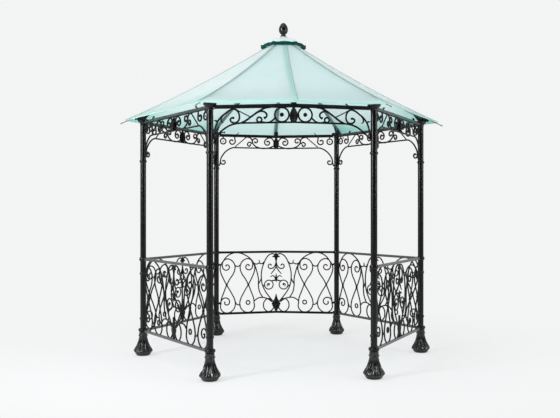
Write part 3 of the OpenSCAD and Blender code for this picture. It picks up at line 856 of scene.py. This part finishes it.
def build_friezes():
    cluster = acanthus()
    for side in SIDES:
        top_bar = moulding(side, box_section(0.012, 0.006, 0.001, 2), side.half - post_r - 0.002,
                           beam_low_z - 0.0035)
        frieze = joined([eave_bars(side, frieze_front_scrolls, frieze_side_scrolls), top_bar,
                         copy_of(cluster, side.at_middle(frieze_z))])
        corners = eave_bars(side, bracket_front_scrolls, bracket_side_scrolls)
        done(frieze, f"scroll_frieze_{side.name}", "scrollwork", scroll_paint, f"frieze_{side.name}")
        done(corners, f"corner_scrolls_{side.name}", "scrollwork", scroll_paint, f"brackets_{side.name}")
    drop(cluster)


def at_posts(piece, name, slot, material, node):
    """Puts a copy of a piece made on the Z axis at each post and drops the piece."""
    for i, post in enumerate(POSTS):
        place = spin("Z", post_angle(i)) @ shift(plan_radius, 0, 0)
        done(copy_of(piece, place), f"{name}_{post}", slot, material, f"{node}_{post}")
    drop(piece)


FOOT_OUTLINE = [
    (0.056, 0), (0.068, 0.003), (0.0745, 0.01), (0.08, 0.019), (0.085, 0.028), (0.0905, 0.0345),
    (0.0955, 0.04), (0.0978, 0.047), (0.097, 0.054), (0.093, 0.0625), (0.0865, 0.0725), (0.079, 0.084),
    (0.0715, 0.096), (0.0645, 0.109), (0.0583, 0.123), (0.053, 0.138), (0.0488, 0.154), (0.0458, 0.171),
    (0.044, 0.189), (0.0435, 0.204), (0.048, 0.2075), (0.0505, 0.2135), (0.048, 0.2195), (0.0435, 0.2225),
    (0.0435, foot_top_z), (0.032, foot_top_z)]
FOOT_LEAVES = 8
LEAF_LOW, LEAF_TOP = 0.0445, 0.205  # heights between which the leaves stand out from the bell
CURL_TOP = 0.066  # height of the leaves' curled tips


def build_feet():
    """Cast foot: a bell of leaves that curl out over a round bowl."""
    foot = lathe(FOOT_OUTLINE, 16 * FOOT_LEAVES)
    for vertex in foot.data.vertices:
        x, y, z = vertex.co
        turn = math.atan2(y, x) * FOOT_LEAVES / math.tau
        u = 2 * abs(turn - round(turn))  # 0 on a leaf's rib, 1 between two leaves
        lift = 0.0
        if z < LEAF_LOW:
            lift = -0.0018 * u ** 4
        elif z < LEAF_TOP:
            rib = 0.0055 * crest(u, 0.13)
            vein = 0.0030 * crest(u - 0.32, 0.12)
            relief = min((z - LEAF_LOW) / 0.008, 1.0) * min((LEAF_TOP - z) / 0.07, 1.0)
            lift = relief * (rib - vein - 0.0115 * u ** 4)
            if z < CURL_TOP:
                vertex.co.z = z + 0.011 * u * u - 0.003
        share = 1 + lift / math.hypot(x, y)
        vertex.co.x, vertex.co.y = x * share, y * share
    smooth(foot, 50)
    at_posts(foot, "leafy_foot", "feet", casting_paint, "foot")


def rafter_drop(r, q):
    """How far a rafter lies below the fold at eave radius r, so that its edges clear the sheets.

    The hips or folds beside that fold have eave radius q."""
    return FIT + RAFTER_W / 2 * (roof_top_z - eave_z + 4 * ROOF_SAG) / (r - TOP_R) \
        * (r - q * COS_30) / (q / 2)


def roof_at(r, inner, x):
    """Height of the roof's underside at radius x on a line from eave radius r to top radius inner."""
    return roof_z((r - x) / (r - inner))


hip_drop = rafter_drop(corner_r, flat_r)
mid_drop = rafter_drop(mid_r, corner_r)
RAFTER_REACH = 0.085  # of the hip rafters past the posts
MID_REACH = 0.030  # and of the mid rafters past the beams


def hip_top(x):
    """Height of a hip rafter's upper face at x outwards from a post's axis."""
    return roof_at(corner_r, TOP_R, plan_radius + x) - hip_drop


def ring_steps(z, r, h):
    """Profile of a rounded ring on a post, h high."""
    steps = [(post_r, z - h / 2)]
    for k in range(9):
        a = math.radians(-90 + 22.5 * k)
        steps.append((post_r + (r - post_r) * (0.35 + 0.65 * math.cos(a)), z + h / 2 * math.sin(a)))
    return steps + [(post_r, z + h / 2)]


def build_posts():
    """Tube with rings and a capital, and on it a seat and a shoe for the hip rafter."""
    rail_gap = top_rail_z - low_rail_z
    capital_z = capital_top_z - 0.046
    rings = ((low_rail_z + 0.008, low_ring_r + 0.003, 0.036),
             (low_rail_z + LOW_TIE * rail_gap, tie_r + 0.002, 0.022),
             (low_rail_z + HIGH_TIE * rail_gap, tie_r + 0.002, 0.022),
             (top_rail_z, ring_r + 0.003, 0.038),
             (necking_z, ring_r, 0.024),
             (capital_z - 0.010, 0.035, 0.008))
    capital = ((post_r, 0), (0.035, 0.004), (0.042, 0.014), (0.052, 0.024), (0.059, 0.029), (0.0605, 0.031),
               (0.061, 0.033), (0.061, 0.0445), (0.0595, 0.046))
    profile = [(post_r, 0.0)]
    for ring in rings:
        profile += ring_steps(*ring)
    turned = lathe(profile + [(r, capital_z + z) for r, z in capital], 48)
    smooth(turned, 35)
    under = RAFTER_H + FIT
    seat = [(-0.024, capital_top_z - 0.002), (0.024, capital_top_z - 0.002)]
    for k in range(4, -5, -1):
        x = RAFTER_REACH * k / 4
        seat.append((x, hip_top(x) - under))
    start = 0.008
    shoe = [(start, hip_top(0) - under - 0.006), (RAFTER_REACH, hip_top(RAFTER_REACH) - under - 0.006)]
    for k in range(4, -1, -1):
        x = start + (RAFTER_REACH - start) * k / 4
        shoe.append((x, hip_top(x) - 0.0012))
    at_posts(joined([turned, plate(seat, 0.012), plate(shoe, RAFTER_W + 0.006)]),
             "turned_post", "posts", post_paint, "post")


LUG_AT = 0.655  # place of the lugs on a beam, as a share of the half side
CAPITAL_GAP = 0.043  # from a post's axis to the beam's end


def build_beams():
    """Beams with two lugs each, and on a bowed side a shoe and a bolt for the mid rafter."""
    seat_z = roof_at(mid_r, TOP_R * COS_30, apothem + bow + BEAM_W / 2) - mid_drop - RAFTER_H
    height = seat_z - beam_top_z
    for side in SIDES:
        pieces = [moulding(side, box_section(BEAM_W, BEAM_H, EDGE_ROUND), side.half - CAPITAL_GAP,
                           beam_low_z + BEAM_H / 2)]
        for half in (1, -1):
            lug = plate([(0, -0.001), (0.014, -0.001), (-0.016, 0.026), (-0.024, 0.024)], 0.020)
            turn = 60 * side.bay + half * math.degrees(side.turn)
            place = shift(*side.place(half, LUG_AT * side.half, beam_top_z)) @ spin("Z", turn) \
                @ stretch(half, 1, 1)
            pieces.append(copy_of(lug, place))
            drop(lug)
        if side.bow:
            middle = side.at_middle(0)
            shoe = block((0.052, BEAM_W, height), (0, 0, beam_top_z + height / 2), EDGE_ROUND)
            pieces.append(copy_of(shoe, middle))
            drop(shoe)
            bolt = lathe([(0.0045, 0), (0.0105, 0.0005), (0.0105, 0.003), (0.0095, 0.0042), (0.0085, 0.0048),
                          (0.0085, 0.0095), (0.0065, 0.0118), (0.001, 0.0128)], 24)
            bolt.data.transform(shift(0, BEAM_W / 2, beam_top_z + height / 2) @ spin("X", -90))
            smooth(bolt, 35)
            # the bolt's pale grey is a painted glint
            done(copy_of(bolt, middle), f"shoe_bolt_{side.name}", "beams", bolt_paint_painted_glint)
            drop(bolt)
        # the straight sides' beams take the paler beam paint, a painted highlight; the bowed sides' beams
        # stay dark
        done(joined(pieces), f"eave_tube_{side.name}", "beams",
             scroll_paint if side.bow else beam_paint_painted_highlight, f"eave_beam_{side.name}")


def rafter(r, inner, fall, end):
    """A curved rafter along X, from radius end to the hub, its top by fall below the roof."""
    steps = 24
    places = []
    for k in range(steps + 1):
        x = end + (hub_high.x - end) * k / steps
        places.append(Vector((x, 0, roof_at(r, inner, x) - fall - RAFTER_H / 2)))
    return swept(box_section(RAFTER_W, RAFTER_H, EDGE_ROUND), places)


def build_rafters():
    hip = rafter(corner_r, TOP_R, hip_drop, plan_radius + RAFTER_REACH)
    slope = math.atan((roof_z(1 / 6) - roof_z(0)) / ((corner_r - TOP_R) / 6))
    pin = lathe([(0.005, -0.16), (0.005, 0.030), (0.0068, 0.033), (0.0068, 0.050), (0.005, 0.055),
                 (0.001, 0.058)], 16)
    pin.data.transform(shift(corner_r, 0, eave_z - hip_drop - 0.010)
                       @ spin("Y", 90 + math.degrees(slope)))
    smooth(pin, 35)
    hip = joined([hip, pin])
    middle = rafter(mid_r, TOP_R * COS_30, mid_drop, apothem + bow + MID_REACH)
    for piece, angles, name, node in (
            (hip, [post_angle(i) for i in range(6)], "curved_hip_rafters", "hip_rafters"),
            (middle, [bay_angle(0), bay_angle(3)], "curved_mid_rafters", "mid_rafters")):
        copies = [copy_of(piece, spin("Z", angle)) for angle in angles]
        done(joined(copies), name, "rafters", rafter_paint, node)
        drop(piece)


HALF_BAY = math.radians(29.94)  # a little under 30 degrees, so that neighbouring sheets stay apart
ON_FOLD = -1e-9  # the inset of the fold itself


def roof_place(bay, half, inset, v, lift=0.0):
    """A point on the roof, share v up the slope, inset from the hip, or from the fold where negative."""
    a = math.radians(bay_angle(bay))
    edge_r = corner_r + (TOP_R - corner_r) * v
    edge = Vector(polar(edge_r, a + half * HALF_BAY))
    fold_r = edge_r * math.cos(HALF_BAY)
    if SIDES[bay].bow:
        fold_r = mid_r + (TOP_R * COS_30 - mid_r) * v
    fold = Vector(polar(fold_r, a))
    share = inset / (edge - fold).length
    place = edge.lerp(fold, share if inset >= 0 else 1 + share)
    return Vector((place.x, place.y, roof_z(v) + lift))


def build_roof():
    for side in SIDES:
        def on_roof(u, v, side=side):
            half = 1 if u > 0 else -1
            edge = roof_place(side.bay, half, 0, v, SHEET_T / 2)
            return roof_place(side.bay, half, ON_FOLD, v, SHEET_T / 2).lerp(edge, abs(u))

        sheet = bent_sheet(8, 24, on_roof)
        # the straight sides' tops take a paler, greyer colour than the bowed sides', a painted sheen
        done(sheet, f"roof_sheet_{side.name}", "roof_panels", sheet_tint if side.bow else side_sheet_painted_sheen,
             f"roof_panel_{side.name}")
        # faces turned down take the underside colours: brighter than the tops, painted light, and darker teal
        # near the eaves, painted shade
        sheet.data.materials.append(under_painted_light_and_shade if side.bow else side_under_painted_light_and_shade)
        for polygon in sheet.data.polygons:
            polygon.material_index = 1 if polygon.normal.z < -0.2 else 0


def strip(width, where, thickness=0.0016, rows=24):
    """A thin strip over a line of the roof, at the places where(u, v), u from -width to width."""
    return bent_sheet(6, rows, lambda u, v: where(u * width, v), thickness)


BEAD_TOP = 0.985  # how far the beads and bands run up the slope
BEAD_LIFT = 0.0062  # of a bead's crest over the sheets' underside
HIP_BEAD_INSET = 0.0095
BAND_W = 0.024  # half the width of a fold's band
LIP_H = 0.021  # of the hanging edge at the middle of a bowed side
SIDE_LIP_H = 0.008
LIP_EASE = 0.3  # share of a half eave over which the lip deepens from its corner


def build_seams():
    """Beads along the hips, bands and beads along the folds, and a lip that hangs from the eaves."""
    beads, bands, lips = [], [], []
    for i in range(6):
        for bay, half in ((i, 1), ((i + 1) % 6, -1)):
            def on_hip(u, v, bay=bay, half=half):
                return roof_place(bay, half, HIP_BEAD_INSET + u, v * BEAD_TOP, BEAD_LIFT - abs(u) / 2)

            beads.append(strip(0.0028, on_hip, 0.004))
    for bay in (0, 3):
        def on_fold(u, v, bay=bay):
            return roof_place(bay, 1, u - BAND_W, v * BEAD_TOP, BEAD_LIFT - abs(u) / 2)

        def on_band(u, v, bay=bay):
            return roof_place(bay, 1 if u > 0 else -1, min(-abs(u), ON_FOLD), v * BEAD_TOP, 0.0050)

        beads.append(strip(0.0022, on_fold, 0.003))
        bands.append(strip(BAND_W, on_band))
    for side in SIDES:
        for half in (1, -1):
            def on_lip(u, v, side=side, half=half):
                place = roof_place(side.bay, half, 0, 0).lerp(roof_place(side.bay, half, ON_FOLD, 0), v)
                away = Vector((place.x, place.y, 0)).normalized() * 0.002
                height = SIDE_LIP_H
                if side.bow:
                    ease = min(v / LIP_EASE, 1.0)
                    height += (LIP_H - SIDE_LIP_H) * ease * ease * (3 - 2 * ease)
                return place - away + Vector((0, 0, 0.003 - height * (0.5 - u / LIP_H)))

            lip = strip(LIP_H / 2, on_lip, 0.003, 16)
            # the lip takes the hem tint on the bowed sides only; on the straight sides it takes their
            # painted-sheen sheet colour, painted so that no lit line shows along those eaves
            lips.append(painted(lip, hem_tint if side.bow else side_sheet_painted_sheen))
    done(joined(beads), "seam_beads", "roof_panels", bead_tint)
    done(joined(bands), "fold_bands", "roof_panels", band_tint)
    done(joined(lips), "eave_lip", "roof_panels", None)


def round_cap(u):
    """At u from -1 to 1 round the cap: angle, share of a side, and radius as a share of a corner's."""
    turn = (u + 1) / 2
    part = (turn * 6) % 1.0
    return math.tau * turn, part, COS_30 / math.cos((part - 0.5) * math.radians(60))


def rim_wave(part):
    """Rise of the cap's rim at share part of one of its sides, with a peak in the middle."""
    return 0.008 * crest(part - 0.5, 0.09) + 0.003 * math.cos(math.tau * 3 * part)


def build_cap():
    """Upper roof: a low six-sided sheet with a scalloped edge over an upright skirt, near-black teal as
    painted shade of the gap under the cap.
    """
    eave = cap_low.z + 0.038
    peak = cap_high.z + 0.012
    crown_r = 0.034

    def on_top(u, v):
        turn, part, flat = round_cap(u)
        r = (cap_r + (crown_r - cap_r) * v) * (flat * (1 - v) + v)
        z = eave + (peak - eave) * (1.25 * v - 0.25 * v * v) + rim_wave(part) * max(0.0, 1 - v * 5)
        return (*polar(r, turn), z)

    def on_skirt(u, v):
        turn, part, flat = round_cap(u)
        r = cap_r * (0.982 + 0.008 * v) * flat
        low = 0.009 * crest(part - 0.5, 0.04) + 0.001
        return (*polar(r, turn), cap_low.z + low + (0.037 + rim_wave(part) - low) * v)

    top = bent_sheet(144, 14, on_top, closed=True)
    crown = lathe([(0.030, peak - 0.010), (0.044, peak - 0.006), (0.045, peak), (0.040, peak + 0.004)], 32)
    smooth(crown, 40)
    done(joined([top, crown]), "cap_top", "cap_roof", cap_tint, "cap_roof")
    done(bent_sheet(144, 4, on_skirt, closed=True), "cap_skirt", "cap_roof", skirt_painted_shade)


def build_finial():
    """Egg on a small turned foot."""
    outline = [(0.034, 0), (0.0345, 0.002), (0.0340, 0.005), (0.0315, 0.011), (0.0285, 0.018),
               (0.0245, 0.025), (0.0235, 0.0285)]
    egg_low, egg_high = 0.027, finial_high.z - finial_low.z + 0.008
    egg_r = 0.0498
    belly = 0.42  # height of the widest place, as a share of the egg's
    for k in range(5, 30):
        a = math.pi * k / 30
        share = (1 - math.cos(a)) / 2 + (belly - 0.5) * math.sin(a) ** 2
        taper = 1 - 0.10 * max(0.0, (share - belly) / (1 - belly)) ** 2
        outline.append((egg_r * math.sin(a) ** 0.97 * taper, egg_low + (egg_high - egg_low) * share))
    piece = lathe(outline + [(0.0008, egg_high)], 48)
    piece.data.transform(shift(0, 0, finial_low.z + 0.016))
    smooth(piece, 50)
    done(piece, "egg_finial", "finial", finial_paint, "finial")


def finish_frame():
    """Gives every node of the frame a finish. Only the roof hub shows as it is."""
    paints = {"post_": post_paint, "foot_": casting_paint, "railing_": scroll_paint, "eave_beam_": beam_paint_painted_highlight,
              "frieze_": scroll_paint, "brackets_": scroll_paint, "roof_panel_": sheet_tint,
              "hip_rafters": rafter_paint, "mid_rafters": rafter_paint, "roof_hub": rafter_paint,
              "cap_roof": cap_tint, "finial": finial_paint}
    for name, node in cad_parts.items():
        for start, paint in paints.items():
            if name.startswith(start):
                painted(node, paint)


# ---- Stage ----

BACKDROP = (0.895, 0.900, 0.902, 1)
FLOOR_COLOUR = (0.70, 0.71, 0.72, 1)
FLOOR_FADE = 0.62  # how much of the floor near the object already has the backdrop's colour
FADE_NEAR, FADE_FAR = 1.2, 4.5
ROOM_LIGHT = 0.95
DIM_FRONT, BRIGHT_BACK = 0.05, 0.9  # of the room in reflections
LOOK_AT = Vector((0, 0, 1.8))
LIGHTS = (("key", (-1.5, -3.0, 8.0), (6, 5), 75),
          ("strip_left", (-5.5, -4.5, 3.9), (0.9, 3.6), 380),
          ("strip_right", (5.5, -3.5, 3.4), (0.4, 3.4), 120))


def build_floor():
    """Pale floor that fades into the backdrop away from the object."""
    bpy.ops.mesh.primitive_plane_add(size=60)
    floor = bpy.context.object
    floor.name = "floor"
    finish = Finish("pale_floor")
    set_inputs(finish.shader, Base_Color=FLOOR_COLOUR, Roughness=0.8, Specular_IOR_Level=0.1)
    seen = finish.combined("MULTIPLY", finish.faded(finish.place, FADE_NEAR, FADE_FAR, FLOOR_FADE),
                           finish.node("LightPath").outputs["Is Camera Ray"])
    finish.show(finish.mixed(seen, finish.shader, finish.node("Emission", Color=BACKDROP)))
    floor.data.materials.append(finish.material)


def build_world():
    """Even white room. Reflections show it white behind and beside the object and dim in front."""
    world = bpy.data.worlds.new("studio")
    studio = Nodes(world, "World Output")
    room = studio.nodes["Background"]
    set_inputs(room, Color=(1, 1, 1, 1), Strength=ROOM_LIGHT)
    axes = studio.node("SeparateXYZ")
    studio.link(studio.node("TexCoord").outputs["Generated"], axes.inputs[0])
    dim = studio.node("MapRange", From_Min=-0.85, From_Max=-0.1, To_Min=DIM_FRONT, To_Max=BRIGHT_BACK)
    studio.link(axes.outputs["Y"], dim.inputs["Value"])
    reflected = studio.node("Background")
    studio.link(dim.outputs["Result"], reflected.inputs["Strength"])
    ray = studio.node("LightPath").outputs
    plain = studio.combined("MAXIMUM", ray["Is Camera Ray"], ray["Is Transmission Ray"])
    lit = studio.mixed(ray["Is Glossy Ray"], room, reflected)
    studio.show(studio.mixed(plain, lit, studio.node("Background", Color=BACKDROP)))
    bpy.context.scene.world = world


def build_lights():
    for name, place, size, energy in LIGHTS:
        bpy.ops.object.light_add(type="AREA", location=place)
        light = bpy.context.object
        light.name = name
        light.data.shape = "RECTANGLE"
        light.data.size, light.data.size_y = size
        light.data.energy = energy
        light.rotation_euler = (LOOK_AT - light.location).to_track_quat("-Z", "Y").to_euler()


def build_camera():
    data = bpy.data.cameras.new("camera")
    camera = bpy.data.objects.new("camera", data)
    bpy.context.scene.collection.objects.link(camera)
    camera.location = (-0.532, -8.343, 1.533)
    camera.rotation_euler = (math.radians(90), 0, -0.0593)
    data.lens = 49.8
    data.sensor_width = 36
    data.shift_y = 2.5 / 560
    bpy.context.scene.camera = camera


build_camera()
finish_frame()
build_feet()
build_posts()
build_railings()
build_beams()
build_friezes()
build_rafters()
build_roof()
build_seams()
build_cap()
build_finial()
build_floor()
build_world()
build_lights()
bpy.context.scene.view_settings.view_transform = "Standard"
